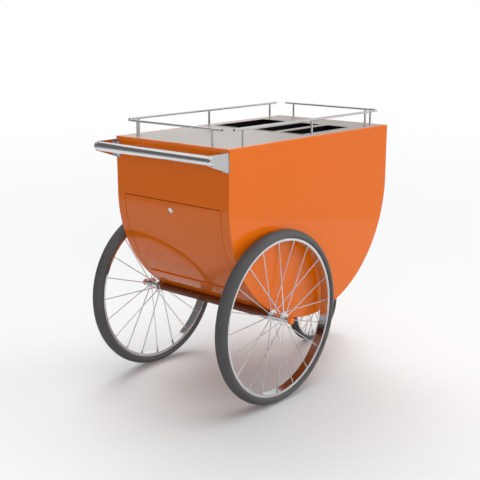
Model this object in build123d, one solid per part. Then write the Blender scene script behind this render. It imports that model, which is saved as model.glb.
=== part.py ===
"""Ice cream cart: a round-bottomed box with three wells in its worktop, on two spoked wheels.

A smaller spoked wheel on a swivelling fork carries the front, and the back has a push handle
and a flap that drops down on a long hinge.

Millimetres, +X forward, +Y to the left, +Z up. The origin is on the floor, in the middle of
the cart's length and width.
"""

import os
from math import cos, degrees, radians, sin, sqrt

from build123d import *

os.makedirs("parts", exist_ok=True)

# Body: a box whose underside is a half cylinder lying across the cart
body_length = 980
body_width = 575
straight_side = 213  # from the worktop down to where the ends start to curve
ground_clearance = 270
skin = 4
edge_round = 3
rim_width = 13
rim_depth = 12

# Worktop and wells
worktop_thickness = 2
well_length = 300
well_rear_edge = 0  # ahead of the body's middle
well_depth = 180
well_wall = 2
well_lip = 6
well_lip_height = 1.5
well_widths = {"right": 102, "middle": 95, "left": 128}
well_gap_shares = (0.26, 0.16, 0.33, 0.25)  # of the width left over, from the right side to the left

# Rails round the worktop, one open-ended tube on posts along each side
rail_radius = 4.5
rail_wall = 1.2
rail_height = 60
rail_inset = 22
rail_end_setback = 51
post_setback = 46
side_rail_posts = 3
end_rail_posts = 2

# Push handle
handle_radius = 17
handle_reach = 88  # from the rear face to the tube's axis
handle_drop = 30  # from the worktop to the tube's axis
handle_overhang = 10
handle_end_round = 9
bracket_thickness = 5
bracket_lip = 2
bracket_height = 65
bracket_foot = 26
bracket_drop = 15

# Drop-down flap in the curved rear face
door_side_margin = 42.5  # between the flap and the side of the body
door_top_drop = 5
door_height = 350  # measured along the curve
door_gap = 2.6
leaf_depth = 14
lock_radius = 11.5
lock_head = 3
lock_barrel_radius = 9
lock_barrel_length = 20
lock_drop = 31
cam_length = 26
cam_thickness = 2
hinge_knuckles = 9
knuckle_radius = 2.2
knuckle_gap = 0.6
hinge_pin_radius = 1
hinge_leaf = 1
leaf_clearance = 0.06
pin_clearance = 0.15
hinge_lift = 0.3  # barrel above the skin

# Rear axle, welded up against the belly
axle_tube_radius = 15
axle_tube_wall = 3
weld_depth = 0.5
spindle_radius = 7
plug_length = 40
washer_thickness = 2.4
washer_radius = 13
cap_radius = 13
cap_length = 11
cap_round = 3
cap_end_thickness = 5
running_clearance = 0.3

# Rear wheels
wheel_radius = 330
tyre_width = 52
tyre_height = 34
tyre_crown = 23  # from the tread to where the tyre is widest
tyre_gap = 11.5  # between the tyre and the side of the body
rim_section_width = 38
rim_section_height = 8
rim_base_width = 36
rim_lip = 1.5
rim_lip_height = 3.5
wheel_spokes = 20
spoke_radius = 2
spoke_seat = 2  # how far a spoke runs into its rim, on both kinds of wheel
spoke_edge = 4  # from a flange's edge to its spoke holes' middle
hub_flange_radius = 25
hub_flange_offset = 27
hub_flange_thickness = 4
hub_barrel_radius = 13
hub_end_radius = 11
hub_outer_reach = 54
hub_end_play = 1.5

# Front wheel and its swivelling fork
small_wheel_radius = 159
small_tyre_width = 44
small_tyre_height = 22
small_tyre_crown = 14
small_rim_section_width = 32
small_rim_section_height = 6
small_rim_base_width = 30
small_rim_lip = 1
small_rim_lip_height = 2.5
small_wheel_spokes = 28
small_spoke_radius = 1.5
small_spoke_edge = 2.8
small_spoke_weave = 2.2  # crossing spokes leave the flange this far to either side of its middle
small_hub_flange_radius = 18
small_hub_flange_offset = 20
small_hub_flange_thickness = 4.4
small_hub_barrel_radius = 9
small_hub_end_radius = 8
small_hub_reach = 29
small_lace_turn = 62  # degrees between a spoke's ends, so that neighbours cross
small_spindle_radius = 5
small_spindle_thread = 3  # beyond its nuts
castor_trail = 54
swing_clearance = 13.2  # between the belly and the wheel when the fork points backwards
housing_short_side = 35
crown_clearance = 8
crown_thickness = 16
crown_half_length = 16
crown_corner = 12
crown_edge = 2
crown_margin = 2  # beside the blades
blade_top_radius = 9
blade_tip_radius = 6
dropout_radius = 13
dropout_thickness = 8
blade_socket = 3  # how far a blade runs into its dropout
blade_clearance = 1
stem_radius = 11
stem_headroom = 8
bearing_gap = 0.5
housing_radius = 21
bearing_radius = 25
bearing_height = 7
nut_width = 15
nut_thickness = 6

# Where the main pieces stand, from the sizes above
round_radius = body_length / 2
door_width = body_width - 2 * door_side_margin
round_z = ground_clearance + round_radius
body_top = round_z + straight_side
half_width = body_width / 2
inner_half_width = half_width - skin
axle_z = wheel_radius
axle_seat = round_radius + axle_tube_radius - weld_depth
axle_behind = sqrt(axle_seat**2 - (round_z - axle_z) ** 2)
half_track = half_width + tyre_gap + tyre_width / 2
handle_behind = round_radius + handle_reach
crown_bottom = 2 * small_wheel_radius + crown_clearance
crown_top = crown_bottom + crown_thickness
bearing_bottom = crown_top + bearing_gap

# The swivel axis stands far enough ahead for the wheel to swing under the belly and for the
# housing's short side to reach it
swing_reach = round_radius + small_wheel_radius + swing_clearance
swing_x = castor_trail + sqrt(max(swing_reach**2 - (round_z - small_wheel_radius) ** 2, 0))
housing_top_drop = round_z - bearing_bottom - housing_short_side
housing_x = housing_radius + sqrt(max(round_radius**2 - housing_top_drop**2, 0))
castor_x = max(swing_x, housing_x)
small_wheel_ahead = castor_x + castor_trail
rear_end = -max(handle_behind + handle_radius + bracket_lip, axle_behind + wheel_radius)
front_end = max(small_wheel_ahead + small_wheel_radius, round_radius)
body_x = -(rear_end + front_end) / 2
axle_x = body_x - axle_behind
handle_x = body_x - handle_behind
handle_z = body_top - handle_drop
swivel_x = body_x + castor_x
small_wheel_x = body_x + small_wheel_ahead

nodes = {}


def belly_height(ahead):
    """Height of the curved underside at a distance ahead of the body's middle."""
    return round_z - sqrt(round_radius**2 - ahead**2)


def cross_cylinder(radius, width, x, z, y=0):
    """Cylinder lying across the cart."""
    return Pos(x, y, z) * Rot(90, 0, 0) * Cylinder(radius, width)


def box_between(low, high):
    """Box from its lowest corner to its highest."""
    size = [b - a for a, b in zip(low, high)]
    middle = [(a + b) / 2 for a, b in zip(low, high)]
    return Pos(*middle) * Box(*size)


def turned(*profile):
    """Solid turned about Y from a closed profile of (radius, y) points."""
    return revolve(make_face(Polyline(*profile, close=True)), Axis.Y)


# The half cylinder that the curved panels, the axle and the fork housing meet
belly = cross_cylinder(round_radius, body_width, body_x, round_z)


# Panels

rim_bottom = body_top - rim_depth
inner_radius = round_radius - skin


def wrap(start, end, width, y=0):
    """Curved panel from one angle below the rear centre line to another."""
    turn = end - start
    outside = CenterArc((0, 0), round_radius, 180 + start, turn)
    inside = CenterArc((0, 0), inner_radius, 180 + start, turn)
    section = make_face([outside, Line(outside @ 1, inside @ 1), inside, Line(inside @ 0, outside @ 0)])
    panel = extrude(Plane.XZ * section, width / 2, both=True)
    return Pos(body_x, y, round_z) * panel


def upright(side):
    """Flat wall above the curve, at the front (1) or the rear (-1)."""
    x_outer = body_x + side * round_radius
    x_inner = body_x + side * inner_radius
    low = (min(x_outer, x_inner), -inner_half_width, round_z)
    high = (max(x_outer, x_inner), inner_half_width, rim_bottom)
    return box_between(low, high)


def arc_angle(length):
    """Angle of the skin that a length along the curve takes."""
    return degrees(length / round_radius)


def on_curve(drop, piece):
    """Moves a piece drawn on the rear of the skin a length down along the curve."""
    return Pos(body_x, 0, round_z) * Rot(0, -arc_angle(drop), 0) * piece


door_top = door_top_drop
door_bottom = door_top_drop + door_height
hinge_line = door_bottom + door_gap / 2
frame_top = arc_angle(door_top - door_gap)
frame_bottom = arc_angle(door_bottom + door_gap)
strip_inner = door_width / 2 + door_gap
strip_width = inner_half_width - strip_inner
strip_middle = (inner_half_width + strip_inner) / 2

outline_box = box_between(
    (body_x - round_radius, -skin / 2, round_z),
    (body_x + round_radius, skin / 2, rim_bottom),
)
upper_half = Pos(0, 0, round_radius) * Box(body_length, skin, body_length)
half_disc = Rot(90, 0, 0) * Cylinder(round_radius, skin) - upper_half
outline = outline_box + Pos(body_x, 0, round_z) * half_disc
for name, side in (("left", 1), ("right", -1)):
    panel = Pos(0, side * (half_width - skin / 2), 0) * outline
    outer_face = panel.faces().sort_by(Axis.Y)[-1 if side > 0 else 0]
    all_but_top = outer_face.edges().sort_by(Axis.Z)[:-1]
    nodes["side_panel_" + name] = fillet(all_but_top, edge_round)
    nodes["shell_rear_" + name] = wrap(frame_top, frame_bottom, strip_width, side * strip_middle)

nodes["shell_front"] = wrap(90, 180, 2 * inner_half_width) + upright(1)
nodes["shell_belly"] = wrap(frame_bottom, 90, 2 * inner_half_width)
nodes["shell_rear_top"] = wrap(0, frame_top, 2 * inner_half_width) + upright(-1)


# Rim round the worktop: two side bars with the end bars between them

for name, side in (("left", 1), ("right", -1)):
    y_outer = side * half_width
    y_inner = side * (half_width - rim_width)
    bar = box_between(
        (body_x - round_radius, min(y_outer, y_inner), rim_bottom),
        (body_x + round_radius, max(y_outer, y_inner), body_top),
    )
    along = bar.edges().filter_by(Axis.X).group_by(Axis.Z)[-1].sort_by(Axis.Y)
    nodes["rim_" + name] = fillet(along[-1 if side > 0 else 0], edge_round)

for name, side in (("front", 1), ("rear", -1)):
    x_outer = body_x + side * round_radius
    x_inner = body_x + side * (round_radius - rim_width)
    bar = box_between(
        (min(x_outer, x_inner), -(half_width - rim_width), rim_bottom),
        (max(x_outer, x_inner), half_width - rim_width, body_top),
    )
    across = bar.edges().filter_by(Axis.Y).group_by(Axis.Z)[-1].sort_by(Axis.X)
    nodes["rim_" + name] = fillet(across[-1 if side > 0 else 0], edge_round)


# Worktop plate with its three openings, and the liners that hang in them

well_low_x = body_x + well_rear_edge
well_high_x = well_low_x + well_length
worktop = box_between(
    (body_x - round_radius + rim_width, -(half_width - rim_width), body_top - worktop_thickness),
    (body_x + round_radius - rim_width, half_width - rim_width, body_top),
)
spare_width = body_width - sum(well_widths.values())
high_y = -half_width
for (name, width), share in zip(well_widths.items(), well_gap_shares):
    low_y = high_y + share * spare_width
    high_y = low_y + width
    outer = box_between(
        (well_low_x - well_wall, low_y - well_wall, body_top - well_depth - well_wall),
        (well_high_x + well_wall, high_y + well_wall, body_top),
    )
    lip = box_between(
        (well_low_x - well_lip, low_y - well_lip, body_top),
        (well_high_x + well_lip, high_y + well_lip, body_top + well_lip_height),
    )
    hollow = box_between(
        (well_low_x, low_y, body_top - well_depth),
        (well_high_x, high_y, body_top + well_lip_height),
    )
    nodes["well_" + name] = outer + lip - hollow
    worktop -= outer
nodes["worktop"] = worktop


# Rails

def rail(length, posts):
    """Open-ended tube along X on posts that stand on z = 0."""
    along = Pos(0, 0, rail_height) * Rot(0, 90, 0)
    made = along * Cylinder(rail_radius, length)
    first = length / 2 - post_setback
    for i in range(posts):
        x = -first + i * 2 * first / (posts - 1)
        made += Pos(x, 0, rail_height / 2) * Cylinder(rail_radius, rail_height)
    return made - along * Cylinder(rail_radius - rail_wall, length)


side_rail = rail(body_length - 2 * rail_end_setback, side_rail_posts)
end_rail = rail(body_width - 2 * rail_end_setback, end_rail_posts)
for name, side in (("left", 1), ("right", -1)):
    nodes["rail_" + name] = Pos(body_x, side * (half_width - rail_inset), body_top) * side_rail
for name, side in (("front", 1), ("rear", -1)):
    place = Pos(body_x + side * (round_radius - rail_inset), 0, body_top)
    nodes["rail_" + name] = place * Rot(0, 0, 90) * end_rail


# Push handle: a plugged tube through two side plates that stand on the rear face

handle_width = body_width + 2 * handle_overhang
handle = cross_cylinder(handle_radius, handle_width, handle_x, handle_z)
nodes["handle_tube"] = fillet(handle.edges().filter_by(GeomType.CIRCLE), handle_end_round)

rear_x = body_x - round_radius
bracket_top = body_top - bracket_drop
for name, side in (("left", 1), ("right", -1)):
    eye = CenterArc((handle_x, handle_z), handle_radius + bracket_lip, 0, 360)
    foot = Line((rear_x, bracket_top - bracket_height), (rear_x, bracket_top))
    plate = extrude(Plane.XZ * make_hull([eye, foot]), bracket_thickness / 2, both=True)
    plate = Pos(0, side * (half_width - bracket_thickness / 2), 0) * plate
    y_near = side * half_width
    y_far = side * (half_width - bracket_foot)
    flange = box_between(
        (rear_x - bracket_thickness, min(y_near, y_far), bracket_top - bracket_height),
        (rear_x, max(y_near, y_far), bracket_top),
    )
    nodes["handle_bracket_" + name] = plate + flange - handle


# Drop-down flap, its lock and its hinge

panel = wrap(arc_angle(door_top), arc_angle(door_bottom), door_width)
lock_place = door_top + lock_drop
lock_axis = Rot(0, 90, 0)
barrel = Pos(-round_radius + lock_barrel_length / 2, 0, 0) * lock_axis
head = Pos(-round_radius - lock_head / 2, 0, 0) * lock_axis * Cylinder(lock_radius, lock_head)
lock = head + barrel * Cylinder(lock_barrel_radius, lock_barrel_length)
cam = box_between(
    (-round_radius + lock_barrel_length, -lock_barrel_radius, -lock_barrel_radius),
    (-round_radius + lock_barrel_length + cam_thickness, cam_length, lock_barrel_radius),
)
nodes["door_panel"] = panel - on_curve(lock_place, barrel * Cylinder(lock_barrel_radius, lock_barrel_length))
nodes["door_lock"] = on_curve(lock_place, lock + cam)

hinge_x = -round_radius - hinge_lift - knuckle_radius
knuckle_pitch = door_width / hinge_knuckles


def hinge_half(side, numbers):
    """Knuckles and the leaf that folds in beside the gap, towards the flap (1) or the belly (-1)."""
    far = side * (door_gap / 2 - leaf_clearance)
    near = far - side * hinge_leaf
    low_z = min(near, far)
    high_z = max(near, far)
    leaf = box_between(
        (-round_radius, -door_width / 2, low_z),
        (-round_radius + leaf_depth, door_width / 2, high_z),
    )
    half = leaf
    for i in numbers:
        y = -door_width / 2 + (i + 0.5) * knuckle_pitch
        length = knuckle_pitch - knuckle_gap
        half += cross_cylinder(knuckle_radius, length, hinge_x, 0, y)
        half += box_between((hinge_x, y - length / 2, low_z), (-round_radius, y + length / 2, high_z))
    return half - cross_cylinder(hinge_pin_radius + pin_clearance, door_width, hinge_x, 0)


nodes["door_hinge_leaf"] = on_curve(hinge_line, hinge_half(1, range(1, hinge_knuckles, 2)))
nodes["body_hinge_leaf"] = on_curve(hinge_line, hinge_half(-1, range(0, hinge_knuckles, 2)))
nodes["hinge_pin"] = on_curve(hinge_line, cross_cylinder(hinge_pin_radius, door_width, hinge_x, 0))


# Rear axle: a tube against the belly with a plugged spindle at each end

tube = cross_cylinder(axle_tube_radius, body_width, axle_x, axle_z)
bore = cross_cylinder(axle_tube_radius - axle_tube_wall, body_width, axle_x, axle_z)
nodes["axle_tube"] = tube - bore - belly

hub_outer_end = half_track + hub_outer_reach
cap_start = hub_outer_end + running_clearance + washer_thickness
cap_end = cap_start + cap_length
spindle_end = cap_end - cap_end_thickness
for name, side in (("left", 1), ("right", -1)):
    plug = cross_cylinder(
        axle_tube_radius - axle_tube_wall, plug_length, axle_x, axle_z, side * (half_width - plug_length / 2)
    )
    spindle_middle = side * (half_width + spindle_end) / 2
    spindle = cross_cylinder(spindle_radius, spindle_end - half_width, axle_x, axle_z, spindle_middle)
    washer_middle = side * (cap_start - washer_thickness / 2)
    washer = cross_cylinder(washer_radius, washer_thickness, axle_x, axle_z, washer_middle)
    nodes["axle_stub_" + name] = plug + spindle + washer - belly
    cap = cross_cylinder(cap_radius, cap_length, axle_x, axle_z, side * (cap_start + cap_end) / 2)
    outer_rim = cap.edges().filter_by(GeomType.CIRCLE).sort_by(Axis.Y)[-1 if side > 0 else 0]
    nodes["axle_cap_" + name] = fillet(outer_rim, cap_round) - spindle


# Wheels

def polar(radius, angle, y):
    """Point at a radius and an angle from +X towards +Z, at a place along the axle."""
    return Vector(radius * cos(radians(angle)), y, radius * sin(radians(angle)))


def tyre_and_rim(outer, crown, bead, tyre_wide, rim_wide, base_wide, rim_inner, lip, lip_height):
    """Tyre that tucks in to the lips of its rim, and the rim, both turned from their sections."""
    half = tyre_wide / 2
    widest = outer - crown
    rim_half = rim_wide / 2
    seat_half = rim_half - lip
    base_half = base_wide / 2
    lip_top = bead + lip_height
    tuck = widest - lip_top
    tread = EllipticalCenterArc((widest, 0), crown, half, start_angle=-90, arc_size=180)
    left_wall = EllipticalCenterArc((widest, seat_half), tuck, half - seat_half, start_angle=90, arc_size=90)
    right_wall = EllipticalCenterArc((widest, -seat_half), tuck, half - seat_half, start_angle=180, arc_size=90)
    seat = Polyline((lip_top, seat_half), (bead, seat_half), (bead, -seat_half), (lip_top, -seat_half))
    rim_section = make_face(
        Polyline(
            (rim_inner, -base_half),
            (rim_inner, base_half),
            (bead - lip_height, rim_half),
            (lip_top, rim_half),
            (lip_top, seat_half),
            (bead, seat_half),
            (bead, -seat_half),
            (lip_top, -seat_half),
            (lip_top, -rim_half),
            (bead - lip_height, -rim_half),
            close=True,
        )
    )
    tyre_section = make_face([tread, left_wall, seat, right_wall])
    return revolve(tyre_section, Axis.Y), revolve(rim_section, Axis.Y)


def lace(count, radius, hole_radius, flange_offset, rim_inner, turn, weave):
    """Straight spokes, even ones from the flange at -Y and odd ones from the flange at +Y."""
    made = []
    for k in range(count):
        side = 1 if k % 2 else -1
        angle = k * 360 / count
        hand = 1 if (k // 2) % 2 else -1
        start = polar(hole_radius, angle + hand * turn, side * (flange_offset + hand * weave))
        end = polar(rim_inner + spoke_seat, angle, 0)
        line = end - start
        place = Plane(origin=(start + end) / 2, z_dir=line)
        made.append(place * Cylinder(radius, line.length))
    return made


def hub(bore_radius, barrel, flange, flange_offset, flange_thickness, end_radius, low_y, high_y):
    """Barrel with two flanges, bored for its spindle."""
    inner = flange_offset - flange_thickness / 2
    outer = flange_offset + flange_thickness / 2
    return turned(
        (bore_radius, low_y),
        (end_radius, low_y),
        (end_radius, -outer),
        (flange, -outer),
        (flange, -inner),
        (barrel, -inner),
        (barrel, inner),
        (flange, inner),
        (flange, outer),
        (end_radius, outer),
        (end_radius, high_y),
        (bore_radius, high_y),
    )


def bored_for(piece, spokes):
    """Piece with the spokes' holes in it."""
    for spoke in spokes:
        piece -= spoke
    return piece


bead_radius = wheel_radius - tyre_height
rim_inner_radius = bead_radius - rim_section_height
tyre, rim = tyre_and_rim(
    wheel_radius,
    tyre_crown,
    bead_radius,
    tyre_width,
    rim_section_width,
    rim_base_width,
    rim_inner_radius,
    rim_lip,
    rim_lip_height,
)
spokes = lace(
    wheel_spokes, spoke_radius, hub_flange_radius - spoke_edge, hub_flange_offset, rim_inner_radius, 0, 0
)
wheel_hub = hub(
    spindle_radius + running_clearance,
    hub_barrel_radius,
    hub_flange_radius,
    hub_flange_offset,
    hub_flange_thickness,
    hub_end_radius,
    half_width + hub_end_play - half_track,
    hub_outer_reach,
)
left_wheel = {
    "tyre": tyre,
    "rim": bored_for(rim, spokes),
    "spokes": Compound(spokes),
    "hub": bored_for(wheel_hub, spokes),
}
for name, piece in left_wheel.items():
    placed = Pos(axle_x, half_track, axle_z) * piece
    nodes["left_" + name] = placed
    nodes["right_" + name] = mirror(placed, Plane.XZ)

small_bead = small_wheel_radius - small_tyre_height
small_rim_inner = small_bead - small_rim_section_height
small_tyre, small_rim = tyre_and_rim(
    small_wheel_radius,
    small_tyre_crown,
    small_bead,
    small_tyre_width,
    small_rim_section_width,
    small_rim_base_width,
    small_rim_inner,
    small_rim_lip,
    small_rim_lip_height,
)
small_spokes = lace(
    small_wheel_spokes,
    small_spoke_radius,
    small_hub_flange_radius - small_spoke_edge,
    small_hub_flange_offset,
    small_rim_inner,
    small_lace_turn,
    small_spoke_weave,
)
small_hub = hub(
    small_spindle_radius + running_clearance,
    small_hub_barrel_radius,
    small_hub_flange_radius,
    small_hub_flange_offset,
    small_hub_flange_thickness,
    small_hub_end_radius,
    -small_hub_reach,
    small_hub_reach,
)
small_wheel = {
    "tyre": small_tyre,
    "rim": bored_for(small_rim, small_spokes),
    "spokes": Compound(small_spokes),
    "hub": bored_for(small_hub, small_spokes),
}
for name, piece in small_wheel.items():
    nodes["front_" + name] = Pos(small_wheel_x, 0, small_wheel_radius) * piece


# Swivelling fork and the housing that it turns in

blade_y = small_hub_reach + blade_clearance + blade_top_radius
stem_top = belly_height(castor_x - stem_radius) - stem_headroom
crown_half_width = blade_y + blade_top_radius + crown_margin

crown = box_between(
    (swivel_x - crown_half_length, -crown_half_width, crown_bottom),
    (swivel_x + crown_half_length, crown_half_width, crown_top),
)
crown = fillet(crown.edges().filter_by(Axis.Z), crown_corner)
crown = fillet(crown.faces().filter_by(Axis.Z).edges(), crown_edge)
stem = Pos(swivel_x, 0, (crown_top + stem_top) / 2) * Cylinder(stem_radius, stem_top - crown_top)
nodes["fork_crown"] = crown + stem

axle_line = cross_cylinder(small_spindle_radius, 4 * blade_y, small_wheel_x, small_wheel_radius)
for name, side in (("left", 1), ("right", -1)):
    tip = Vector(small_wheel_x, side * blade_y, small_wheel_radius)
    top = Vector(swivel_x, side * blade_y, crown_top)
    line = top - tip
    low_end = tip + line.normalized() * (dropout_radius - blade_socket)
    place = Plane(origin=(low_end + top) / 2, z_dir=line)
    blade = place * Cone(blade_tip_radius, blade_top_radius, (top - low_end).length)
    dropout = cross_cylinder(
        dropout_radius, dropout_thickness, small_wheel_x, small_wheel_radius, side * blade_y
    )
    blade = split(blade, Plane.XY.offset(crown_bottom), keep=Keep.BOTTOM)
    nodes["fork_blade_" + name] = blade + dropout - axle_line

nut_start = blade_y + dropout_thickness / 2
spindle = cross_cylinder(
    small_spindle_radius, 2 * (nut_start + nut_thickness + small_spindle_thread), small_wheel_x, small_wheel_radius
)
for side in (1, -1):
    nut = extrude(RegularPolygon(nut_width / 2, 6), nut_thickness / 2, both=True)
    nut_middle = side * (nut_start + nut_thickness / 2)
    spindle += Pos(small_wheel_x, nut_middle, small_wheel_radius) * Rot(90, 0, 0) * nut
    collar_length = nut_start - dropout_thickness - small_hub_reach - running_clearance
    collar_middle = side * (small_hub_reach + running_clearance + collar_length / 2)
    spindle += cross_cylinder(
        small_hub_end_radius, collar_length, small_wheel_x, small_wheel_radius, collar_middle
    )
nodes["front_spindle"] = spindle

housing_height = round_z - bearing_bottom
housing = Pos(swivel_x, 0, bearing_bottom + housing_height / 2) * Cylinder(housing_radius, housing_height)
bearing = Pos(swivel_x, 0, bearing_bottom + bearing_height / 2) * Cylinder(bearing_radius, bearing_height)
stem_bore_height = stem_top + stem_headroom / 2 - bearing_bottom
stem_bore_middle = bearing_bottom + stem_bore_height / 2
stem_bore = Pos(swivel_x, 0, stem_bore_middle) * Cylinder(stem_radius + running_clearance, stem_bore_height)
nodes["castor_housing"] = housing + bearing - belly - stem_bore

for name, shape in nodes.items():
    export_step(shape, "parts/" + name + ".step")
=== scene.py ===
from math import asin, atan2, cos, pi, radians, sin

import bmesh
import bpy
from mathutils import Matrix, Vector


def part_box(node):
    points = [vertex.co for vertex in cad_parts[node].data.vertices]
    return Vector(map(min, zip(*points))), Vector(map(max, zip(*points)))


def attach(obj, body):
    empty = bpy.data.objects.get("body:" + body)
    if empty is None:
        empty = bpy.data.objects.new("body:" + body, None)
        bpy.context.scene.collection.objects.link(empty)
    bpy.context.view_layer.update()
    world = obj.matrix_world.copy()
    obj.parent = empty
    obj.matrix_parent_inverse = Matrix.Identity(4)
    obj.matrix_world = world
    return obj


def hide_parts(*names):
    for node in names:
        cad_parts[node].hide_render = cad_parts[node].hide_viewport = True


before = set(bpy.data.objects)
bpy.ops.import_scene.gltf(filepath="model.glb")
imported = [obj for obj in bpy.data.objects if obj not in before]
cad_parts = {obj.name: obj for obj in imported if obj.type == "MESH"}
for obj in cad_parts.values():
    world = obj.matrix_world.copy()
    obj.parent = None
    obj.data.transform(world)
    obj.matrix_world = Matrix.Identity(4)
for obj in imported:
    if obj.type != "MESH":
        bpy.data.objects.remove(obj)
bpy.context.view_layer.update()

# The body is a sheet-metal tub: a skin bent to a half cylinder between two flat sides, welded,
# ground and sprayed in one glossy orange coat. Its top edge turns inwards to a narrow rim, and
# the rear quarter has the opening for the flap.
body_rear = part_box("rim_left")[0].x
body_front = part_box("rim_left")[1].x
body_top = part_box("rim_left")[1].z
half_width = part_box("side_panel_left")[1].y
rim_inner_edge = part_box("worktop")[1].y
belly_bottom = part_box("side_panel_left")[0].z
body_radius = (body_front - body_rear) / 2
body_x = (body_front + body_rear) / 2
body_z = belly_bottom + body_radius
skin = 0.004
edge_round = 0.003
belly_steps = 128
tolerance = 0.00001
same_point = 0.000001
door_gap = 0.0026
door_low, door_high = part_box("door_panel")
door_half_width = door_high.y
door_top_angle = asin((body_z - door_high.z) / body_radius)
door_bottom_angle = asin((body_z - door_low.z) / body_radius)
door_gap_angle = door_gap / body_radius


def surface_group():
    """Soft and fine unevenness of a finished surface, as two values between 0 and 1."""
    group = bpy.data.node_groups.new("surface_unevenness", "ShaderNodeTree")
    for name, value in (("Soft Scale", 3.0), ("Fine Scale", 300.0)):
        socket = group.interface.new_socket(name, in_out="INPUT", socket_type="NodeSocketFloat")
        socket.default_value = value
    for name in ("Soft", "Fine"):
        group.interface.new_socket(name, in_out="OUTPUT", socket_type="NodeSocketFloat")
    nodes, links = group.nodes, group.links
    given = nodes.new("NodeGroupInput")
    made = nodes.new("NodeGroupOutput")
    place = nodes.new("ShaderNodeTexCoord")
    for scale, output, detail in (("Soft Scale", "Soft", 3.0), ("Fine Scale", "Fine", 2.0)):
        noise = nodes.new("ShaderNodeTexNoise")
        noise.inputs["Detail"].default_value = detail
        links.new(place.outputs["Object"], noise.inputs["Vector"])
        links.new(given.outputs[scale], noise.inputs["Scale"])
        links.new(noise.outputs["Fac"], made.inputs[output])
    return group


unevenness = surface_group()
noise_low = 0.3  # most of a noise lies between these two
noise_high = 0.7


def spread(nodes, links, noise, low, high):
    """Value that follows a noise and runs from low to high."""
    ramp = nodes.new("ShaderNodeMapRange")
    ramp.inputs["From Min"].default_value = noise_low
    ramp.inputs["From Max"].default_value = noise_high
    ramp.inputs["To Min"].default_value = low
    ramp.inputs["To Max"].default_value = high
    links.new(noise, ramp.inputs["Value"])
    return ramp.outputs["Result"]


coat_roughness = 0.03


def finish_material(
    name, light, dark, roughness, metallic=0.0, specular=0.5, coat=0.0, bump=0.0, scales=(3.0, 300.0)
):
    """Principled finish whose colour and roughness drift a little, with a fine bump."""
    material = bpy.data.materials.new(name)
    material.use_nodes = True
    nodes, links = material.node_tree.nodes, material.node_tree.links
    shader = nodes["Principled BSDF"]
    shader.inputs["Metallic"].default_value = metallic
    shader.inputs["Specular IOR Level"].default_value = specular
    shader.inputs["Coat Weight"].default_value = coat
    shader.inputs["Coat Roughness"].default_value = coat_roughness
    wobble = nodes.new("ShaderNodeGroup")
    wobble.node_tree = unevenness
    wobble.inputs["Soft Scale"].default_value = scales[0]
    wobble.inputs["Fine Scale"].default_value = scales[1]
    blend = nodes.new("ShaderNodeMix")
    blend.data_type = "RGBA"
    blend.inputs["A"].default_value = (*dark, 1)
    blend.inputs["B"].default_value = (*light, 1)
    links.new(spread(nodes, links, wobble.outputs["Soft"], 0.0, 1.0), blend.inputs["Factor"])
    links.new(blend.outputs["Result"], shader.inputs["Base Color"])
    rough = spread(nodes, links, wobble.outputs["Soft"], roughness[0], roughness[1])
    links.new(rough, shader.inputs["Roughness"])
    if bump:
        relief = nodes.new("ShaderNodeBump")
        relief.inputs["Strength"].default_value = 1.0
        relief.inputs["Distance"].default_value = bump
        links.new(wobble.outputs["Fine"], relief.inputs["Height"])
        links.new(relief.outputs["Normal"], shader.inputs["Normal"])
    return material


orange_paint = finish_material(
    "orange_paint",
    light=(0.77, 0.150, 0.004),
    dark=(0.75, 0.145, 0.003),
    roughness=(0.30, 0.38),
    specular=0.0,
    coat=0.75,
    bump=0.00001,
    scales=(4.0, 260.0),
)


corner_angle = 50  # degrees, from which an edge is a corner that a bevel rounds


def add_piece(bm, name, body, material, replaced=(), sharp=35, bevel=0.0, solid=0.0):
    """Makes a piece of the cart from a bmesh, with even shading over its flat and round faces."""
    bmesh.ops.remove_doubles(bm, verts=bm.verts, dist=same_point)
    bmesh.ops.recalc_face_normals(bm, faces=bm.faces)
    mesh = bpy.data.meshes.new(name)
    bm.to_mesh(mesh)
    bm.free()
    piece = bpy.data.objects.new(name, mesh)
    bpy.context.scene.collection.objects.link(piece)
    if solid:
        wall = piece.modifiers.new("wall", "SOLIDIFY")
        wall.thickness = solid
        wall.offset = -1
        wall.use_even_offset = True
    if bevel:
        edge = piece.modifiers.new("edge", "BEVEL")
        edge.width = bevel
        edge.segments = 2
        edge.limit_method = "ANGLE"
        edge.angle_limit = radians(corner_angle)
    if solid or bevel:
        shaped = piece.evaluated_get(bpy.context.evaluated_depsgraph_get())
        piece.data = bpy.data.meshes.new_from_object(shaped)
        piece.modifiers.clear()
        bpy.data.meshes.remove(mesh)
        piece.data.name = name
    piece.data.shade_smooth()
    piece.data.set_sharp_from_angle(angle=radians(sharp))
    even = piece.modifiers.new("even_shading", "WEIGHTED_NORMAL")
    even.keep_sharp = True
    piece.data.materials.clear()
    piece.data.materials.append(material)
    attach(piece, body)
    if replaced:
        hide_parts(*replaced)
    return piece


def edges_of(faces):
    """The edges of some faces, each once."""
    return list({edge for face in faces for edge in face.edges})


def is_top_corner(edge):
    """True for an edge that runs from side to side at the top of the body."""
    first, second = (vert.co for vert in edge.verts)
    return abs(first.y - second.y) > half_width and first.z > body_top - tolerance


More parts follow.
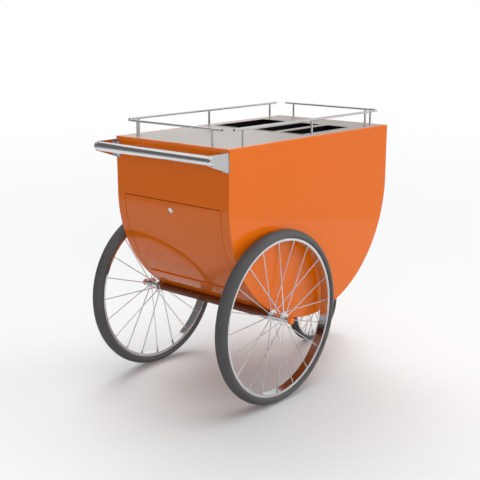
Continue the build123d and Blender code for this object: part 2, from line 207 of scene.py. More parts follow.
bm = bmesh.new()
rear_corner = bm.verts.new((body_rear, -half_width, body_z))
swept = bmesh.ops.spin(
    bm,
    geom=[rear_corner],
    cent=(body_x, -half_width, body_z),
    axis=(0, -1, 0),
    angle=pi,
    steps=belly_steps,
)
front_corner = swept["geom_last"][0]
rear_top = bm.verts.new((body_rear, -half_width, body_top))
front_top = bm.verts.new((body_front, -half_width, body_top))
bm.edges.new((rear_corner, rear_top))
bm.edges.new((rear_top, front_top))
bm.edges.new((front_top, front_corner))
outline = bmesh.ops.contextual_create(bm, geom=bm.edges[:])["faces"]
pushed = bmesh.ops.extrude_face_region(bm, geom=outline)
moved = [v for v in pushed["geom"] if isinstance(v, bmesh.types.BMVert)]
bmesh.ops.translate(bm, verts=moved, vec=(0, 2 * half_width, 0))
bmesh.ops.recalc_face_normals(bm, faces=bm.faces)
sides = [f for f in bm.faces if abs(f.normal.y) > 0.9]
top_corners = [e for e in bm.edges if is_top_corner(e)]
bmesh.ops.bevel(
    bm,
    geom=edges_of(sides) + top_corners,
    offset=edge_round,
    offset_type="OFFSET",
    segments=4,
    profile=0.5,
    affect="EDGES",
    material=-1,
)
top = max((f for f in bm.faces if f.normal.z > 0.99), key=lambda f: f.calc_area())
flat_rim = half_width - rim_inner_edge - edge_round
bmesh.ops.inset_region(bm, faces=[top], thickness=flat_rim, use_even_offset=True)
bmesh.ops.delete(bm, geom=[top], context="FACES")


def behind_and_below(face):
    """True for the curved skin in the rear quarter, between the side bends."""
    middle = face.calc_center_median()
    lies_flat_across = abs(face.normal.y) < 0.01
    return middle.x < body_x and middle.z < body_z + tolerance and lies_flat_across


def cut(bm, faces, point, normal):
    """Splits faces along a plane."""
    verts = list({v for f in faces for v in f.verts})
    geom = verts + edges_of(faces) + faces
    bmesh.ops.bisect_plane(bm, geom=geom, plane_co=point, plane_no=normal)


opening_top = door_top_angle - door_gap_angle
opening_bottom = door_bottom_angle + door_gap_angle
for angle in (opening_top, opening_bottom):
    wrap = [f for f in bm.faces if behind_and_below(f)]
    cut(bm, wrap, (body_x, 0, body_z), (sin(angle), 0, -cos(angle)))


def in_opening_rows(face):
    """True where the curved skin lies between the opening's top and bottom."""
    middle = face.calc_center_median()
    angle = atan2(body_z - middle.z, body_x - middle.x)
    return behind_and_below(face) and opening_top < angle < opening_bottom


for side in (-1, 1):
    rows = [f for f in bm.faces if in_opening_rows(f)]
    cut(bm, rows, (0, side * (door_half_width + door_gap), 0), (0, 1, 0))
hole = [f for f in bm.faces if in_opening_rows(f) and abs(f.calc_center_median().y) < door_half_width]
bmesh.ops.delete(bm, geom=hole, context="FACES")
add_piece(
    bm,
    "body_shell",
    "cart",
    orange_paint,
    replaced=[
        "side_panel_left",
        "side_panel_right",
        "shell_front",
        "shell_belly",
        "shell_rear_top",
        "shell_rear_left",
        "shell_rear_right",
        "rim_left",
        "rim_right",
        "rim_front",
        "rim_rear",
    ],
    solid=skin,
    sharp=40,
)


# The flap is cut from the same bent sheet and sprayed with the body. It hangs on a long hinge
# along its lower edge and drops down backwards.
flap_steps = 44
flap_edge_round = 0.0006
bm = bmesh.new()
top_x = body_x - body_radius * cos(door_top_angle)
top_z = body_z - body_radius * sin(door_top_angle)
top_verts = [bm.verts.new((top_x, side * door_half_width, top_z)) for side in (-1, 1)]
top_edge = bm.edges.new(top_verts)
bmesh.ops.spin(
    bm,
    geom=[*top_verts, top_edge],
    cent=(body_x, 0, body_z),
    axis=(0, -1, 0),
    angle=door_bottom_angle - door_top_angle,
    steps=flap_steps,
)
bmesh.ops.recalc_face_normals(bm, faces=bm.faces)
if bm.faces[:][0].normal.x > 0:
    bmesh.ops.reverse_faces(bm, faces=bm.faces)
add_piece(
    bm,
    "flap_panel",
    "flap",
    orange_paint,
    replaced=["door_panel"],
    solid=skin,
    bevel=flap_edge_round,
)


# The flap's cam lock is turned from brass and chromed. Its round head shows on the outside, near the flap's
# upper edge. The keyway in its plug is a thin near-black block on the plug's face: painted shade for the
# dark inside of the slot.
lock_head_radius = 0.0115
lock_drop = 0.031
lock_angle = door_top_angle + lock_drop / body_radius
lock_profile = [
    (0, 0.0030),
    (0.0060, 0.0030),
    (0.0063, 0.0024),
    (0.0070, 0.0024),
    (0.0098, 0.0030),
    (lock_head_radius, 0.0018),
    (lock_head_radius, 0),
    (0, 0),
]
keyway_centre = (0, 0.0029, 0)
keyway_size = (0.0012, 0.0004, 0.0052)
polished_steel = finish_material(
    "polished_steel",
    light=(0.72, 0.72, 0.73),
    dark=(0.68, 0.68, 0.69),
    roughness=(0.07, 0.12),
    metallic=1.0,
    bump=0.000002,
    scales=(6.0, 500.0),
)
# Near-black finish for the keyway block: painted shade for the inside of the slot.
keyway_painted_shade = finish_material(
    "painted_shade_keyway", light=(0.02, 0.02, 0.022), dark=(0.012, 0.012, 0.013), roughness=(0.5, 0.6)
)


def turned(bm, profile, centre=(0, 0, 0), steps=48):
    """Closed shape turned about Y from points of (radius, place along the axis)."""
    centre = Vector(centre)
    verts = [bm.verts.new(centre + Vector((radius, along, 0))) for radius, along in profile]
    edges = [bm.edges.new(pair) for pair in zip(verts, verts[1:] + verts[:1])]
    bmesh.ops.spin(
        bm, geom=verts + edges, cent=centre, axis=(0, 1, 0), angle=2 * pi, steps=steps, use_merge=True
    )
    bmesh.ops.remove_doubles(bm, verts=bm.verts, dist=same_point)
    bmesh.ops.dissolve_degenerate(bm, edges=bm.edges, dist=same_point)


def on_belly(angle):
    """Place on the curved skin below its rear line: Y points outwards and Z up along the curve."""
    out = Vector((-cos(angle), 0, -sin(angle)))
    along = Vector((-sin(angle), 0, cos(angle)))
    across = out.cross(along)
    place = Matrix((across, out, along)).transposed().to_4x4()
    return Matrix.Translation(Vector((body_x, 0, body_z)) + body_radius * out) @ place


def block(bm, centre, size):
    """Block with square corners."""
    bmesh.ops.create_cube(bm, size=1, matrix=Matrix.Translation(centre) @ Matrix.Diagonal((*size, 1)))


bm = bmesh.new()
turned(bm, lock_profile, steps=40)
bmesh.ops.transform(bm, matrix=on_belly(lock_angle), verts=bm.verts)
add_piece(bm, "flap_lock", "flap", polished_steel, replaced=["door_lock"])

# The keyway: a thin near-black block on the plug, painted shade in place of a cut slot.
bm = bmesh.new()
block(bm, keyway_centre, keyway_size)
bmesh.ops.transform(bm, matrix=on_belly(lock_angle), verts=bm.verts)
add_piece(bm, "flap_lock_keyway", "flap", keyway_painted_shade)


# A long steel hinge carries the flap's lower edge: two leaves whose knuckles interleave round one
# pin. It is sprayed over with the body.
def repaint(name, material):
    """Gives a piece that is shown as it was built its finish."""
    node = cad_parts[name]
    node.data.materials.clear()
    node.data.materials.append(material)


for name in ("body_hinge_leaf", "hinge_pin", "door_hinge_leaf"):
    repaint(name, orange_paint)


# The worktop is one sheet of stainless steel, brushed along the cart, dropped into the rim. It is
# laser cut for the three wells.
worktop_low, worktop_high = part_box("worktop")
worktop_seam = 0.0004
scratch_scale = (2.0, 900.0, 900.0)
scratch_depth = 0.000004
scratch_shade = 0.9
well_lip = 0.006
well_wall = 0.002
well_boxes = {name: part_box("well_" + name) for name in ("right", "middle", "left")}


def brushed_material(name, colour, roughness):
    """Stainless steel with fine straight scratches along X."""
    material = bpy.data.materials.new(name)
    material.use_nodes = True
    nodes, links = material.node_tree.nodes, material.node_tree.links
    shader = nodes["Principled BSDF"]
    shader.inputs["Metallic"].default_value = 1.0
    place = nodes.new("ShaderNodeTexCoord")
    stretch = nodes.new("ShaderNodeMapping")
    stretch.inputs["Scale"].default_value = scratch_scale
    scratch = nodes.new("ShaderNodeTexNoise")
    scratch.inputs["Scale"].default_value = 1.0
    scratch.inputs["Detail"].default_value = 3.0
    links.new(place.outputs["Object"], stretch.inputs["Vector"])
    links.new(stretch.outputs["Vector"], scratch.inputs["Vector"])
    tint = nodes.new("ShaderNodeMix")
    tint.data_type = "RGBA"
    tint.inputs["A"].default_value = (*(scratch_shade * value for value in colour), 1)
    tint.inputs["B"].default_value = (*colour, 1)
    links.new(scratch.outputs["Fac"], tint.inputs["Factor"])
    links.new(tint.outputs["Result"], shader.inputs["Base Color"])
    rough = spread(nodes, links, scratch.outputs["Fac"], roughness[0], roughness[1])
    links.new(rough, shader.inputs["Roughness"])
    relief = nodes.new("ShaderNodeBump")
    relief.inputs["Distance"].default_value = scratch_depth
    links.new(scratch.outputs["Fac"], relief.inputs["Height"])
    links.new(relief.outputs["Normal"], shader.inputs["Normal"])
    return material


brushed_steel = brushed_material("brushed_steel", (0.48, 0.435, 0.395), (0.28, 0.42))


def flat_plate(bm, low, high, z):
    """One face from corner to corner at a height, facing up."""
    corners = [(low[0], low[1]), (high[0], low[1]), (high[0], high[1]), (low[0], high[1])]
    face = bm.faces.new([bm.verts.new((x, y, z)) for x, y in corners])
    face.normal_update()
    return face


bm = bmesh.new()
plate_low = (worktop_low.x + worktop_seam, worktop_low.y + worktop_seam)
plate_high = (worktop_high.x - worktop_seam, worktop_high.y - worktop_seam)
flat_plate(bm, plate_low, plate_high, body_top)
hole_edge = well_lip - well_wall
hole_low_x = well_boxes["left"][0].x + hole_edge
hole_high_x = well_boxes["left"][1].x - hole_edge
for x in (hole_low_x, hole_high_x):
    cut(bm, bm.faces[:], (x, 0, 0), (1, 0, 0))
for low, high in well_boxes.values():
    for y in (low.y + hole_edge, high.y - hole_edge):
        cut(bm, bm.faces[:], (0, y, 0), (0, 1, 0))


def over_well(face):
    """True where a face of the worktop lies over a well."""
    middle = face.calc_center_median()
    return any(
        low.x < middle.x < high.x and low.y < middle.y < high.y for low, high in well_boxes.values()
    )


bmesh.ops.delete(bm, geom=[f for f in bm.faces if over_well(f)], context="FACES")
add_piece(
    bm,
    "worktop_plate",
    "cart",
    brushed_steel,
    replaced=["worktop"],
    solid=worktop_high.z - worktop_low.z,
)


# Three deep black liners hang in the worktop's holes. Each has a narrow frame of polished steel,
# which lies on the sheet round the hole.
lip_round = 0.0005
liner_corner = 0.004
black_liner = finish_material(
    "black_liner",
    light=(0.004, 0.004, 0.0045),
    dark=(0.002, 0.002, 0.0022),
    roughness=(0.42, 0.5),
    specular=0.05,
    bump=0.00002,
    scales=(8.0, 900.0),
)
for name, (low, high) in well_boxes.items():
    bm = bmesh.new()
    lip = flat_plate(bm, low, high, high.z)
    bmesh.ops.inset_region(bm, faces=[lip], thickness=hole_edge, use_even_offset=True, use_boundary=True)
    bmesh.ops.delete(bm, geom=[lip], context="FACES")
    lip_height = high.z - body_top
    add_piece(
        bm, "well_lip_" + name, "cart", polished_steel, solid=lip_height, bevel=lip_round
    )

    bm = bmesh.new()
    outer_low = Vector((low.x + hole_edge, low.y + hole_edge, low.z))
    outer_high = Vector((high.x - hole_edge, high.y - hole_edge, high.z))
    size = outer_high - outer_low
    block(bm, (outer_low + outer_high) / 2, size)
    upright = [e for e in bm.edges if abs(e.verts[0].co.z - e.verts[1].co.z) > size.z / 2]
    bmesh.ops.bevel(
        bm, geom=upright, offset=liner_corner, segments=3, profile=0.5, affect="EDGES", material=-1
    )
    bmesh.ops.delete(bm, geom=[f for f in bm.faces if f.normal.z > 0.9], context="FACES")
    add_piece(
        bm,
        "well_liner_" + name,
        "cart",
        black_liner,
        replaced=["well_" + name],
        solid=well_wall,
    )


# A low rail stands along each edge of the worktop: one polished tube, open at both ends, welded
# on short posts of the same thickness.
rail_radius = 0.0045
rail_wall = 0.0012
post_setback = 0.046
weld_radius = 0.0058
weld_height = 0.0015
rail_sides = 32


def bar(bm, start, end, radius, end_radius=None, sides=24, caps=True):
    """Round bar or cone from one point to another."""
    start, end = Vector(start), Vector(end)
    line = end - start
    turn = line.to_track_quat("Z", "Y").to_matrix().to_4x4()
    bmesh.ops.create_cone(
        bm,
        cap_ends=caps,
        segments=sides,
        radius1=radius,
        radius2=radius if end_radius is None else end_radius,
        depth=line.length,
        matrix=Matrix.Translation((start + end) / 2) @ turn,
    )


bore_depth = 12  # times the tube's radius, as deep as shows


def open_tube(bm, start, end, radius, wall, sides):
    """Tube that is open at both ends."""
    along = (Vector(end) - Vector(start)).normalized()
    bar(bm, start, end, radius, sides=sides)
    for point in (start, end):
        cap = min(
            (f for f in bm.faces if abs(f.normal.dot(along)) > 0.9),
            key=lambda f: (f.calc_center_median() - Vector(point)).length,
        )
        bmesh.ops.inset_region(bm, faces=[cap], thickness=wall, use_even_offset=True)
        bore = bmesh.ops.extrude_face_region(bm, geom=[cap])["geom"]
        inner = [v for v in bore if isinstance(v, bmesh.types.BMVert)]
        inward = along if (Vector(point) - Vector(start)).length < wall else -along
        bmesh.ops.delete(bm, geom=[cap], context="FACES_ONLY")
        half_length = (Vector(end) - Vector(start)).length / 2
        bmesh.ops.translate(bm, verts=inner, vec=inward * min(half_length, bore_depth * radius))


for name, axis, posts in (("left", 0, 3), ("right", 0, 3), ("front", 1, 2), ("rear", 1, 2)):
    low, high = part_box("rail_" + name)
    middle = (low + high) / 2
    half_length = (high - low)[axis] / 2
    along = Vector((1, 0, 0)) if axis == 0 else Vector((0, 1, 0))
    centre = Vector((middle.x, middle.y, high.z - rail_radius))
    bm = bmesh.new()
    ends = (centre - half_length * along, centre + half_length * along)
    open_tube(bm, *ends, rail_radius, rail_wall, rail_sides)
    reach = half_length - post_setback
    for number in range(posts):
        foot = centre + (2 * number / (posts - 1) - 1) * reach * along
        foot.z = body_top
        head = foot + Vector((0, 0, centre.z - body_top - rail_radius / 2))
        bar(bm, foot, head, rail_radius, sides=rail_sides)
        bar(bm, foot, foot + Vector((0, 0, weld_height)), weld_radius, rail_radius, sides=rail_sides)
        collar = foot + Vector((0, 0, centre.z - body_top - rail_radius - weld_height / 2))
        collar_top = collar + Vector((0, 0, weld_height))
        bar(bm, collar, collar_top, rail_radius, weld_radius, sides=rail_sides)
    add_piece(
        bm, "rail_tube_" + name, "cart", polished_steel, replaced=["rail_" + name]
    )


# The push handle is a polished stainless tube with domed ends, held by two plates that are bent
# inwards at their feet and screwed to the rear face.
handle_low, handle_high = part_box("handle_tube")
handle_radius = (handle_high.z - handle_low.z) / 2
handle_dome = 0.009
handle_centre = (handle_low + handle_high) / 2
bm = bmesh.new()
ends = [(handle_centre.x, y, handle_centre.z) for y in (handle_low.y, handle_high.y)]
bar(bm, ends[0], ends[1], handle_radius, sides=64)
rings = edges_of([f for f in bm.faces if abs(f.normal.y) > 0.9])
bmesh.ops.bevel(
    bm, geom=rings, offset=handle_dome, segments=8, profile=0.5, affect="EDGES", material=-1
)
add_piece(bm, "push_handle", "cart", polished_steel, replaced=["handle_tube"], sharp=50)

plate_thickness = 0.005
plate_round = 0.0008
screw_radius = 0.0065
screw_profile = [
    (0, 0.0012),
    (0.0026, 0.0012),
    (0.0030, 0.0034),
    (0.0048, 0.0030),
    (0.0062, 0.0018),
    (screw_radius, 0),
    (0, 0),
]
screw_heights = (("upper", 0.78), ("lower", 0.22))  # as a share of the foot's height
for name, side in (("left", 1), ("right", -1)):
    low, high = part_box("handle_bracket_" + name)
    outer_y = high.y if side > 0 else low.y
    inner_y = outer_y - side * plate_thickness
    flange_y = low.y if side > 0 else high.y
    eye_radius = handle_centre.x - low.x
    bm = bmesh.new()
    for y in (outer_y, inner_y):
        turn = Matrix.Rotation(pi / 2, 4, "X")
        bmesh.ops.create_circle(
            bm,
            segments=48,
            radius=eye_radius,
            matrix=Matrix.Translation((handle_centre.x, y, handle_centre.z)) @ turn,
        )
        for z in (low.z, high.z):
            bm.verts.new((body_rear, y, z))
    bmesh.ops.convex_hull(bm, input=bm.verts)
    bmesh.ops.dissolve_limit(bm, angle_limit=radians(2), verts=bm.verts, edges=bm.edges)
    flange_low = Vector((body_rear - plate_thickness, min(flange_y, outer_y), low.z))
    flange_high = Vector((body_rear, max(flange_y, outer_y), high.z))
    block(bm, (flange_low + flange_high) / 2, flange_high - flange_low)
    add_piece(
        bm,
        "handle_plate_" + name,
        "cart",
        polished_steel,
        replaced=["handle_bracket_" + name],
        bevel=plate_round,
    )
    for number, share in screw_heights:
        bm = bmesh.new()
        turned(bm, screw_profile, steps=24)
        out = Matrix.Rotation(pi / 2, 4, "Z")
        seat = Vector((flange_low.x, (flange_y + inner_y) / 2, low.z + share * (high.z - low.z)))
        bmesh.ops.transform(bm, matrix=Matrix.Translation(seat) @ out, verts=bm.verts)
        add_piece(bm, "handle_screw_" + name + "_" + number, "cart", polished_steel)


# The rear axle is a round steel tube, welded up against the belly and sprayed orange with the body. Its
# colour is darkened to a deep brown orange as painted shade, for the shade that falls on it under the
# belly. A plug in each end carries the spindle, with a washer and a rounded orange cap outside the hub.
axle_low, axle_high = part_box("axle_tube")
axle_wall = 0.003
# Deep brown orange: the body's orange darkened as painted shade for the shade under the belly.
axle_painted_shade = finish_material(
    "axle_painted_shade",
    light=(0.150, 0.034, 0.008),
    dark=(0.130, 0.029, 0.007),
    roughness=(0.30, 0.38),
    specular=0.0,
    coat=0.75,
    bump=0.00001,
    scales=(4.0, 260.0),
)
plain_steel = finish_material(
    "plain_steel",
    light=(0.50, 0.50, 0.51),
    dark=(0.44, 0.44, 0.45),
    roughness=(0.22, 0.32),
    metallic=1.0,
    bump=0.000004,
    scales=(12.0, 600.0),
)
tyre_low, tyre_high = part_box("left_tyre")
axle_x = (tyre_low.x + tyre_high.x) / 2
axle_z = (tyre_low.z + tyre_high.z) / 2
axle_radius = axle_z - axle_low.z
bm = bmesh.new()
open_tube(
    bm, (axle_x, axle_low.y, axle_z), (axle_x, axle_high.y, axle_z), axle_radius, axle_wall, sides=48
)
add_piece(bm, "rear_axle", "cart", axle_painted_shade, replaced=["axle_tube"])

spindle_radius = 0.007
washer_radius = 0.013
washer_thickness = 0.0024
plug_depth = 0.03
plug_chamfer = 0.001
cap_round = 0.003
cap_end_thickness = 0.005
for name, side in (("left", 1), ("right", -1)):
    cap_low, cap_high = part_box("axle_cap_" + name)
    cap_start = min(abs(cap_low.y), abs(cap_high.y))
    cap_end = max(abs(cap_low.y), abs(cap_high.y))
    cap_radius = (cap_high.z - cap_low.z) / 2
    plug_radius = axle_radius - axle_wall
    plug_start = axle_high.y - plug_depth
    washer_start = cap_start - washer_thickness
    spindle_end = cap_end - cap_end_thickness
    bm = bmesh.new()
    profile = [
        (0, plug_start),
        (plug_radius, plug_start),
        (plug_radius, axle_high.y - plug_chamfer),
        (plug_radius - plug_chamfer, axle_high.y),
        (spindle_radius, axle_high.y),
        (spindle_radius, washer_start),
        (washer_radius, washer_start),
        (washer_radius, cap_start),
        (spindle_radius, cap_start),
        (spindle_radius, spindle_end),
        (0, spindle_end),
    ]
    turned(bm, [(radius, side * y) for radius, y in profile], centre=(axle_x, 0, axle_z), steps=40)
    add_piece(bm, "axle_spindle_" + name, "cart", plain_steel, replaced=["axle_stub_" + name])

    bm = bmesh.new()
    bar(bm, (axle_x, side * cap_start, axle_z), (axle_x, side * cap_end, axle_z), cap_radius, sides=40)
    outer_face = max(bm.faces, key=lambda f: side * f.calc_center_median().y)
    bmesh.ops.bevel(
        bm, geom=outer_face.edges[:], offset=cap_round, segments=4, profile=0.5, affect="EDGES", material=-1
    )
    add_piece(
        bm, "wheel_cap_" + name, "cart", orange_paint, replaced=["axle_cap_" + name], sharp=50
    )


# Each rear wheel is a cycle wheel: a fat smooth tyre on a bright rim, twenty straight spokes that
# go out square from two flanges in turn, and a turned hub.
tyre_rubber = finish_material(
    "tyre_rubber",
    light=(0.090, 0.086, 0.090),
    dark=(0.076, 0.073, 0.076),
    roughness=(0.50, 0.60),
    specular=0.25,
    bump=0.00003,
    scales=(9.0, 700.0),
)
round_steps = 144
hub_steps = 64


def add_tyre(wheel, centre, outer, bead, width, crown, seat_width, lip_height):
    """Tyre with a round tread and a moulded line on each side, tucked in to the rim's lips."""
    half = width / 2
    seat = seat_width / 2
    widest = outer - crown
    tuck = widest - (bead + lip_height)
    line_angle = radians(76)
    line_height = 0.0005
    tread_steps = 26
    tuck_steps = 8
    section = [(bead, -seat)]
    for step in range(tuck_steps):
        angle = pi + step * pi / 2 / tuck_steps
        section.append((widest + tuck * cos(angle), -seat + (half - seat) * sin(angle)))
    for step in range(tread_steps + 1):
        angle = -pi / 2 + step * pi / tread_steps
        swell = line_height if abs(abs(angle) - line_angle) < pi / tread_steps / 2 else 0
        section.append((widest + (crown + swell) * cos(angle), (half + swell) * sin(angle)))
    for step in range(1, tuck_steps + 1):
        angle = pi / 2 + step * pi / 2 / tuck_steps
        section.append((widest + tuck * cos(angle), seat + (half - seat) * sin(angle)))
    section.append((bead, seat))
    bm = bmesh.new()
    turned(bm, section, centre=centre, steps=round_steps)
    name, body = wheel + "_wheel_tyre", wheel + "_wheel"
    add_piece(bm, name, body, tyre_rubber, replaced=[wheel + "_tyre"], sharp=60)


def add_rim(wheel, centre, bead, depth, width, base, lip, lip_height):
    """Hooked rim with a flat bright band facing the hub."""
    inner = bead - depth
    round_off = 0.001
    half_section = [
        (inner, base / 2 - 2 * round_off),
        (inner + round_off / 2, base / 2 - round_off / 2),
        (inner + 2 * round_off, base / 2 + round_off),
        (bead - lip_height, width / 2 - round_off / 2),
        (bead - lip_height + round_off, width / 2),
        (bead + lip_height - round_off, width / 2),
        (bead + lip_height, width / 2 - round_off / 2),
        (bead + lip_height - round_off / 2, width / 2 - lip),
        (bead, width / 2 - lip),
    ]
    section = half_section + [(radius, -y) for radius, y in reversed(half_section)]
    bm = bmesh.new()
    turned(bm, section, centre=centre, steps=round_steps)
    name, body = wheel + "_wheel_rim", wheel + "_wheel"
    add_piece(bm, name, body, polished_steel, replaced=[wheel + "_rim"], sharp=50)


def add_hub(wheel, centre, bore, barrel, end, flange, offset, thickness):
    """Turned hub with two flanges, its corners broken."""
    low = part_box(wheel + "_hub")[0].y - centre.y
    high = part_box(wheel + "_hub")[1].y - centre.y
    inner = offset - thickness / 2
    outer = offset + thickness / 2
    broken = thickness / 5
    flange_section = [
        (barrel + 2 * broken, inner),
        (flange - broken, inner),
        (flange, inner + broken),
        (flange, outer - broken),
        (flange - broken, outer),
        (end + 2 * broken, outer),
    ]
    profile = [(bore, low), (end - broken, low), (end, low + broken), (end, -outer - 2 * broken)]
    profile += [(radius, -y) for radius, y in reversed(flange_section)]
    profile += [(barrel, -inner + 2 * broken), (barrel, inner - 2 * broken)]
    profile += flange_section
    profile += [(end, outer + 2 * broken), (end, high - broken), (end - broken, high), (bore, high)]
    bm = bmesh.new()
    turned(bm, profile, centre=centre, steps=hub_steps)
    name, body = wheel + "_wheel_hub", wheel + "_wheel"
    add_piece(bm, name, body, polished_steel, replaced=[wheel + "_hub"], sharp=40)


def add_spokes(
    wheel, centre, rim_inner, metal, count, radius, hole, offset, thickness, first_side, weave, turn
):
    """Spokes that leave the two flanges in turn, each with a head there and a nipple in the rim."""
    spoke_sides = 10
    head_sides = 12
    narrow, wide = 1.5 * radius, 2.0 * radius  # of a nipple and a head
    nipple_length, nipple_seat = 6 * radius, 2 * radius
    shank_reach = 0.75  # this and the next two in flange thicknesses from its middle
    head_foot = 0.5
    head_top = 0.85
    bm = bmesh.new()
    for number in range(count):
        side = -first_side if number % 2 else first_side
        angle = number * 2 * pi / count
        hand = 1 if (number // 2) % 2 else -1
        lead = hand * turn
        reach = side * (offset + hand * weave)
        start = centre + Vector((hole * cos(angle + lead), reach, hole * sin(angle + lead)))
        end = centre + Vector((rim_inner * cos(angle), 0, rim_inner * sin(angle)))
        inward = (start - end).normalized()
        bar(bm, start, end, radius, sides=spoke_sides)
        nipple_start, nipple_end = end + inward * nipple_length, end - inward * nipple_seat
        bar(bm, nipple_start, nipple_end, narrow, wide, sides=spoke_sides)
        across = Vector((0, side * thickness, 0))
        bar(bm, start - across * shank_reach, start + across * shank_reach, radius, sides=spoke_sides)
        bar(bm, start + across * head_foot, start + across * head_top, wide, narrow, sides=head_sides)
    add_piece(
        bm, wheel + "_wheel_spokes", wheel + "_wheel", metal, replaced=[wheel + "_spokes"], sharp=50
    )


def add_wheel(
    wheel,
    tyre_height,
    tyre_crown,
    tyre_seat,
    rim_depth,
    rim_width,
    rim_base,
    rim_lip,
    rim_lip_height,
    hub_bore,
    hub_barrel,
    hub_end,
    flange,
    flange_offset,
    flange_thickness,
    spoke_metal,
    spoke_count,
    spoke_radius,
    spoke_hole,
    first_side,
    weave=0,
    lace_turn=0,
):
    """One spoked wheel, which stands where its tyre's box says."""
    low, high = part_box(wheel + "_tyre")
    centre = (low + high) / 2
    outer = (high.z - low.z) / 2
    bead = outer - tyre_height
    add_tyre(wheel, centre, outer, bead, high.y - low.y, tyre_crown, tyre_seat, rim_lip_height)
    add_rim(wheel, centre, bead, rim_depth, rim_width, rim_base, rim_lip, rim_lip_height)
    add_hub(wheel, centre, hub_bore, hub_barrel, hub_end, flange, flange_offset, flange_thickness)
    add_spokes(
        wheel,
        centre,
        bead - rim_depth,
        spoke_metal,
        spoke_count,
        spoke_radius,
        spoke_hole,
        flange_offset,
        flange_thickness,
        first_side,
        weave,
        lace_turn,
    )


for wheel, first_side in (("left", -1), ("right", 1)):
    add_wheel(
        wheel,
        tyre_height=0.034,
        tyre_crown=0.023,
        tyre_seat=0.035,
        rim_depth=0.008,
        rim_width=0.038,
        rim_base=0.036,
        rim_lip=0.0015,
        rim_lip_height=0.0035,
        hub_bore=0.0073,
        hub_barrel=0.013,
        hub_end=0.011,
        flange=0.025,
        flange_offset=0.027,
        flange_thickness=0.004,
        spoke_metal=polished_steel,
        spoke_count=20,
        spoke_radius=0.002,
        spoke_hole=0.021,
        first_side=first_side,
    )


# The small front wheel is made in the same way, with a thinner tyre. Its twenty-eight duller spokes
# leave the flanges at a slant and cross.
add_wheel(
    "front",
    tyre_height=0.022,
    tyre_crown=0.014,
    tyre_seat=0.030,
    rim_depth=0.006,
    rim_width=0.032,
    rim_base=0.030,
    rim_lip=0.001,
    rim_lip_height=0.0025,
    hub_bore=0.0053,
    hub_barrel=0.009,
    hub_end=0.008,
    flange=0.018,
    flange_offset=0.020,
    flange_thickness=0.0044,
    spoke_metal=plain_steel,
    spoke_count=28,
    spoke_radius=0.0015,
    spoke_hole=0.0152,
    first_side=-1,
    weave=0.0022,
    lace_turn=radians(62),
)


# The fork swivels in a housing that is welded to the belly. Its crown is a rounded block, its
# blades are tapered tubes, and dropouts at their ends hold the small wheel's spindle.
for name in ("castor_housing", "fork_crown", "fork_blade_left", "fork_blade_right"):
    repaint(name, orange_paint)
repaint("front_spindle", plain_steel)


# A pale studio floor that keeps the cart's soft shadow and runs out to white behind it. It is a
# touch cool and gives back less soft light than it shows, so the orange belly hardly tints it.
floor_half = 60
white_from = 2.5
white_at = 10.0
floor_seen = (0.845, 0.86, 0.865)
floor_given_back = 0.38


def stand_object(bm, name):
    """Makes the floor or a card from a bmesh."""
    mesh = bpy.data.meshes.new(name)
    bm.to_mesh(mesh)
    bm.free()
    stood = bpy.data.objects.new(name, mesh)
    bpy.context.scene.collection.objects.link(stood)
    return stood


bm = bmesh.new()
bmesh.ops.create_grid(bm, x_segments=1, y_segments=1, size=floor_half)
floor = stand_object(bm, "floor")
floor_paint = bpy.data.materials.new("floor_paint")
floor_paint.use_nodes = True
nodes, links = floor_paint.node_tree.nodes, floor_paint.node_tree.links
nodes.remove(nodes["Principled BSDF"])


def seen_directly(nodes, links):
    """1 for a ray from the camera, a mirror or glass, and 0 for one that carries soft light."""
    path = nodes.new("ShaderNodeLightPath")
    total = path.outputs["Is Camera Ray"]
    for name in ("Is Glossy Ray", "Is Transmission Ray"):
        add = nodes.new("ShaderNodeMath")
        add.use_clamp = True
        links.new(total, add.inputs[0])
        links.new(path.outputs[name], add.inputs[1])
        total = add.outputs["Value"]
    return total


seen = seen_directly(nodes, links)
tone = nodes.new("ShaderNodeMix")
tone.data_type = "RGBA"
tone.inputs["A"].default_value = (floor_given_back, floor_given_back, floor_given_back, 1)
tone.inputs["B"].default_value = (*floor_seen, 1)
links.new(seen, tone.inputs["Factor"])
matt = nodes.new("ShaderNodeBsdfDiffuse")
links.new(tone.outputs["Result"], matt.inputs["Color"])
white = nodes.new("ShaderNodeEmission")
place = nodes.new("ShaderNodeTexCoord")
distance = nodes.new("ShaderNodeVectorMath")
distance.operation = "LENGTH"
links.new(place.outputs["Object"], distance.inputs[0])
fade = nodes.new("ShaderNodeMapRange")
fade.interpolation_type = "SMOOTHSTEP"
fade.inputs["From Min"].default_value = white_from
fade.inputs["From Max"].default_value = white_at
links.new(distance.outputs["Value"], fade.inputs["Value"])
share = nodes.new("ShaderNodeMath")
share.operation = "MULTIPLY"
links.new(fade.outputs["Result"], share.inputs[0])
links.new(seen, share.inputs[1])
mix = nodes.new("ShaderNodeMixShader")
links.new(share.outputs["Value"], mix.inputs["Fac"])
links.new(matt.outputs["BSDF"], mix.inputs[1])
links.new(white.outputs["Emission"], mix.inputs[2])
links.new(mix.outputs["Shader"], nodes["Material Output"].inputs["Surface"])
floor.data.materials.append(floor_paint)


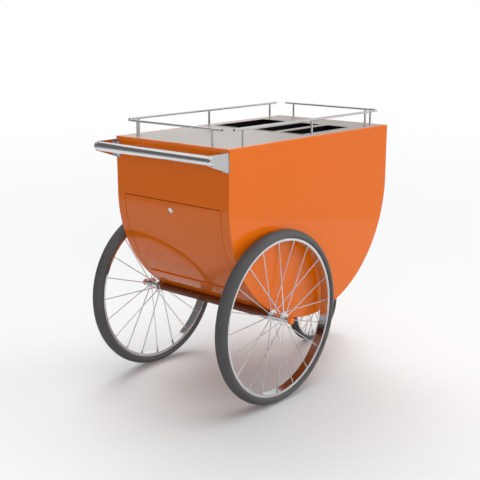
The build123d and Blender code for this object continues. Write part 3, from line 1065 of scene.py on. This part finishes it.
# Grey cards stand round the cart, where only its polished metal and its gloss show them: a dark
# one over a grey one round the left and the back, and a pale one round the right and the front.
card_distance = 3.2
card_rows = (  # name, first azimuth and sweep in degrees, lower and upper edge, grey
    ("dark", 88, 137, 0.8, 3.6, 0.16),
    ("grey", 88, 137, 0.0, 0.8, 0.38),
    ("pale", 225, 173, 0.0, 3.6, 0.70),
)
for name, first, sweep, lower_edge, upper_edge, grey in card_rows:
    bm = bmesh.new()
    card_x = card_distance * cos(radians(first))
    card_y = card_distance * sin(radians(first))
    foot = bm.verts.new((card_x, card_y, lower_edge))
    head = bm.verts.new((card_x, card_y, upper_edge))
    edge = bm.edges.new((foot, head))
    bmesh.ops.spin(
        bm, geom=[foot, head, edge], cent=(0, 0, 0), axis=(0, 0, 1), angle=radians(sweep), steps=48
    )
    card = stand_object(bm, name + "_card")
    card_grey = bpy.data.materials.new(name + "_card_grey")
    card_grey.use_nodes = True
    nodes, links = card_grey.node_tree.nodes, card_grey.node_tree.links
    nodes.remove(nodes["Principled BSDF"])
    plain = nodes.new("ShaderNodeEmission")
    plain.inputs["Color"].default_value = (grey, grey, grey, 1)
    links.new(plain.outputs["Emission"], nodes["Material Output"].inputs["Surface"])
    card.data.materials.append(card_grey)
    card.visible_camera = False
    card.visible_diffuse = False
    card.visible_shadow = False


# The light comes from an even sky with four soft boxes drawn into it: high at the front left,
# overhead, and low at the back right and the front right. What the camera, metal and glass see
# of the sky is plain white.
even_light = 0.16
box_softness = 16
soft_boxes = (  # strength, azimuth and elevation in degrees
    (4.75, 52.1, 50.6),
    (3.05, 275.7, 79.3),
    (8.4, 227.0, 0),
    (11.4, 329.0, 0),
)
world = bpy.data.worlds.new("soft_sky")
world.use_nodes = True
bpy.context.scene.world = world
nodes, links = world.node_tree.nodes, world.node_tree.links
sky = nodes["Background"]
sky.inputs["Color"].default_value = (1, 1, 1, 1)
place = nodes.new("ShaderNodeTexCoord")


def calculated(operation, first, second):
    """Result of a Math node from two values, each a socket or a number."""
    node = nodes.new("ShaderNodeMath")
    node.operation = operation
    for socket, value in zip(node.inputs, (first, second)):
        if isinstance(value, bpy.types.NodeSocket):
            links.new(value, socket)
        else:
            socket.default_value = value
    return node.outputs["Value"]


light = even_light
for strength, azimuth, elevation in soft_boxes:
    level = cos(radians(elevation))
    towards = nodes.new("ShaderNodeVectorMath")
    towards.operation = "DOT_PRODUCT"
    towards.inputs[1].default_value = (
        level * cos(radians(azimuth)),
        level * sin(radians(azimuth)),
        sin(radians(elevation)),
    )
    links.new(place.outputs["Generated"], towards.inputs[0])
    facing = calculated("MAXIMUM", towards.outputs["Value"], 0)
    soft_box = calculated("MULTIPLY", calculated("POWER", facing, box_softness), strength)
    light = calculated("ADD", soft_box, light)
shown = nodes.new("ShaderNodeMix")
links.new(seen_directly(nodes, links), shown.inputs["Factor"])
links.new(light, shown.inputs["A"])
shown.inputs["B"].default_value = 1.0
links.new(shown.outputs["Result"], sky.inputs["Strength"])


# The camera stands where the photograph was taken from, behind the cart on its right, and looks
# down a little.
camera_place = (-2.7994, -2.3984, 1.4218)
camera_down = 13.62
camera_heading = -48.57
camera_lens = 70.19
film_width = 36
camera = bpy.data.objects.new("camera", bpy.data.cameras.new("camera"))
bpy.context.scene.collection.objects.link(camera)
camera.location = camera_place
camera.rotation_euler = (radians(90 - camera_down), 0, radians(camera_heading))
camera.data.lens = camera_lens
camera.data.sensor_width = film_width
bpy.context.scene.camera = camera
bpy.context.scene.view_settings.view_transform = "Standard"
